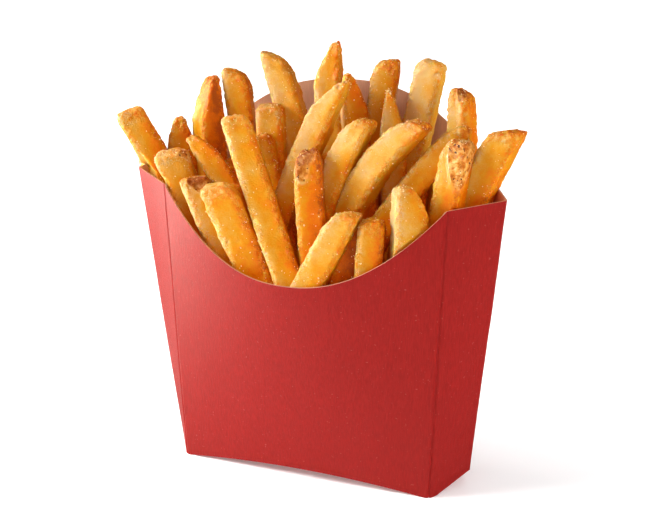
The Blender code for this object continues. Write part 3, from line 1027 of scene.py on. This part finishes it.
class FRIES_OT_carton(bpy.types.Operator):
    """Fold the card into the carton"""

    bl_idname = "fries.carton"
    bl_label = "Carton"

    def execute(self, context):
        looks = context.scene.carton_look
        points, triangles = card_sheet(looks.groove / MM)
        faces = [printed_material(), bare_material("bare_board", looks.inside),
                 bare_material("cut_edge", looks.cut_edge)]
        carton = make_piece("carton_card", points, triangles, faces, None, "carton")
        wall = carton.modifiers.new("board", "SOLIDIFY")
        wall.thickness = looks.board
        wall.offset = -1
        wall.use_even_offset = True
        wall.material_offset = 1
        wall.material_offset_rim = 2
        crisp = carton.modifiers.new("crisp_edge", "EDGE_SPLIT")
        crisp.split_angle = math.radians(50)
        return {"FINISHED"}


class FRIES_OT_plain(bpy.types.Operator):
    """Stand the plain fries in the carton, row by row"""

    bl_idname = "fries.plain"
    bl_label = "Plain fries"

    def execute(self, context):
        make_fries("fries_front_row", FRONT_ROW, 100)
        make_fries("fries_middle_row", MIDDLE_ROW, 200)
        make_fries("fries_back_row", BACK_ROW, 300)
        make_fries("fries_short", SHORT_FRIES, 400, columns=44, row_step=0.8)
        return {"FINISHED"}


class FRIES_OT_skin_on(bpy.types.Operator):
    """Stand the fries that kept some peel"""

    bl_idname = "fries.skin_on"
    bl_label = "Skin-on fries"

    def execute(self, context):
        make_fries("fries_skin_on", SKIN_ROW, 500)
        return {"FINISHED"}


class FRIES_OT_core(bpy.types.Operator):
    """Fill the carton below the fries"""

    bl_idname = "fries.core"
    bl_label = "Packed core"

    def execute(self, context):
        points, triangles = core_surface()
        make_piece("fries_core", points, triangles, [core_material()], None, "fries")
        return {"FINISHED"}


class FRIES_OT_salt(bpy.types.Operator):
    """Sprinkle salt on the fries that stand in the carton"""

    bl_idname = "fries.salt"
    bl_label = "Salt"

    def execute(self, context):
        looks = context.scene.fries_look
        crusts = [o for o in pieces_named("fries_") if o.name != "fries_core"]
        if not crusts:
            raise RuntimeError("the fries are made before the salt")
        places, normals = read_vertices(crusts, "co") / MM, read_vertices(crusts, "normal")
        rng = np.random.default_rng(SALT_SEED)
        clumps = np.clip(0.6 + noise(places, 14.0, 30), 0.05, 1.5)
        faces_up = np.clip(0.55 + 0.6 * normals[:, 2] - 0.25 * normals[:, 1], 0.05, 1.0)
        weight = clumps * faces_up * (places[:, 2] > SEAT_HEIGHT)
        chosen = rng.choice(len(places), looks.salt_count, replace=False, p=weight / weight.sum())
        points, triangles = salt_surface(
            places[chosen], normals[chosen], looks.salt_smallest / MM, looks.salt_largest / MM, rng
        )
        grains = make_piece("salt_grains", points, triangles, [salt_material()])
        grains.data.shade_flat()
        return {"FINISHED"}


class FRIES_OT_stage(bpy.types.Operator):
    """Set the floor, the lights and the camera"""

    bl_idname = "fries.stage"
    bl_label = "Stage"

    def execute(self, context):
        looks = context.scene.stage_look
        scene = context.scene
        bpy.ops.mesh.primitive_plane_add(size=12.0)
        floor = context.object
        floor.name = "floor"
        floor.data.materials.append(floor_material(looks.floor))

        add_light("key", -60, 28, looks.key_power, *LEFT_LAMP)
        add_light("side", -85, 7, looks.side_power, *LEFT_LAMP)
        gloss = add_light("gloss", -72, 0, looks.gloss_power, *LEFT_LAMP)
        gloss.visible_diffuse = False
        gloss.data.color = (1.0, 0.96, 0.88)
        weak = add_light("fill", 90, 15, looks.fill_power, *RIGHT_LAMP)
        high = add_light("high", 60, 45, looks.high_power, *RIGHT_LAMP)
        for thing in (weak, high, floor):
            thing.visible_glossy = False
        table = add_sky("table", 0, 90, looks.table_power)
        table.light_linking.receiver_collection = collection_of("only_floor", [floor])
        glow = add_sky("glow", 40, 30, looks.glow_power)
        glow.data.color = (1.0, 0.30, 0.02)
        glow.data.use_shadow = False
        glow.visible_glossy = False
        heap = collection_of("only_fries", pieces_named("fries_"))
        glow.light_linking.receiver_collection = heap

        world = bpy.data.worlds.new("surround")
        scene.world = world
        world.use_nodes = True
        tree = world.node_tree
        seen = add_node(tree, "ShaderNodeLightPath", {}, "Is Camera Ray")
        mirrored = add_node(tree, "ShaderNodeLightPath", {}, "Is Glossy Ray")
        even = rescale(tree, mirrored, 0.0, 1.0, looks.surround, 0.1 * looks.surround)
        strength = rescale(tree, seen, 0.0, 1.0, even, 1.0)
        fill(tree, tree.nodes["Background"], {"Color": WHITE, "Strength": strength})
        scene.view_settings.view_transform = "Standard"

        camera = bpy.data.objects.new("camera", bpy.data.cameras.new("camera"))
        scene.collection.objects.link(camera)
        aim_from(camera, CAMERA_TARGET, CAMERA_AZIMUTH, CAMERA_ELEVATION, CAMERA_DISTANCE)
        camera.data.sensor_width = 36.0
        camera.data.lens = looks.lens
        camera.data.clip_start = 0.01
        scene.camera = camera
        return {"FINISHED"}


def pieces_named(start):
    return [thing for thing in bpy.context.scene.objects if thing.name.startswith(start)]


def collection_of(name, objects):
    """A collection that only says which objects a light falls on."""
    found = bpy.data.collections.new(name)
    for thing in objects:
        found.objects.link(thing)
    return found


def aim_from(thing, target, azimuth, elevation, distance):
    """Puts a thing at a distance from target and points its -Z at it."""
    a, e = math.radians(azimuth), math.radians(elevation)
    back = Vector((math.sin(a) * math.cos(e), -math.cos(a) * math.cos(e), math.sin(e)))
    thing.location = Vector(target) + back * distance
    thing.rotation_euler = (-back).to_track_quat("-Z", "Y").to_euler()


def add_light(name, azimuth, elevation, power, distance=1.0, size=1.0):
    """A round area light that points at the middle of the stage."""
    lamp = bpy.data.lights.new(name, "AREA")
    lamp.shape = "DISK"
    lamp.size = size
    lamp.energy = power
    light = bpy.data.objects.new(name, lamp)
    bpy.context.scene.collection.objects.link(light)
    aim_from(light, STAGE_MIDDLE, azimuth, elevation, distance)
    return light


def add_sky(name, azimuth, elevation, strength):
    """A sun so wide that its shadows are soft."""
    light = add_light(name, azimuth, elevation, strength)
    light.data.type = "SUN"
    light.data.angle = math.radians(SKY_WIDTH)
    return light


class FRIES_PT_sidebar(bpy.types.Panel):
    bl_idname = "FRIES_PT_sidebar"
    bl_label = "French fries in a carton"
    bl_space_type = "VIEW_3D"
    bl_region_type = "UI"
    bl_category = "Fries"

    def draw(self, context):
        for operator in OPERATORS:
            self.layout.operator(operator.bl_idname)
        for key in LOOKS:
            box = self.layout.box()
            looks = getattr(context.scene, key)
            for name in looks.bl_rna.properties.keys():
                if name not in {"rna_type", "name"}:
                    box.prop(looks, name)


LOOKS = {"carton_look": CartonLook, "fries_look": FriesLook, "stage_look": StageLook}
OPERATORS = (
    FRIES_OT_carton, FRIES_OT_core, FRIES_OT_plain, FRIES_OT_skin_on, FRIES_OT_salt, FRIES_OT_stage,
)


def register():
    for cls in (*LOOKS.values(), *OPERATORS, FRIES_PT_sidebar):
        bpy.utils.register_class(cls)
    for key, cls in LOOKS.items():
        setattr(bpy.types.Scene, key, PointerProperty(type=cls))


def unregister():
    for key in LOOKS:
        delattr(bpy.types.Scene, key)
    for cls in (FRIES_PT_sidebar, *reversed(OPERATORS), *reversed(tuple(LOOKS.values()))):
        bpy.utils.unregister_class(cls)


def main():
    register()
    bpy.ops.fries.carton()
    bpy.ops.fries.core()
    bpy.ops.fries.plain()
    bpy.ops.fries.skin_on()
    bpy.ops.fries.salt()
    bpy.ops.fries.stage()


if __name__ == "__main__":
    main()
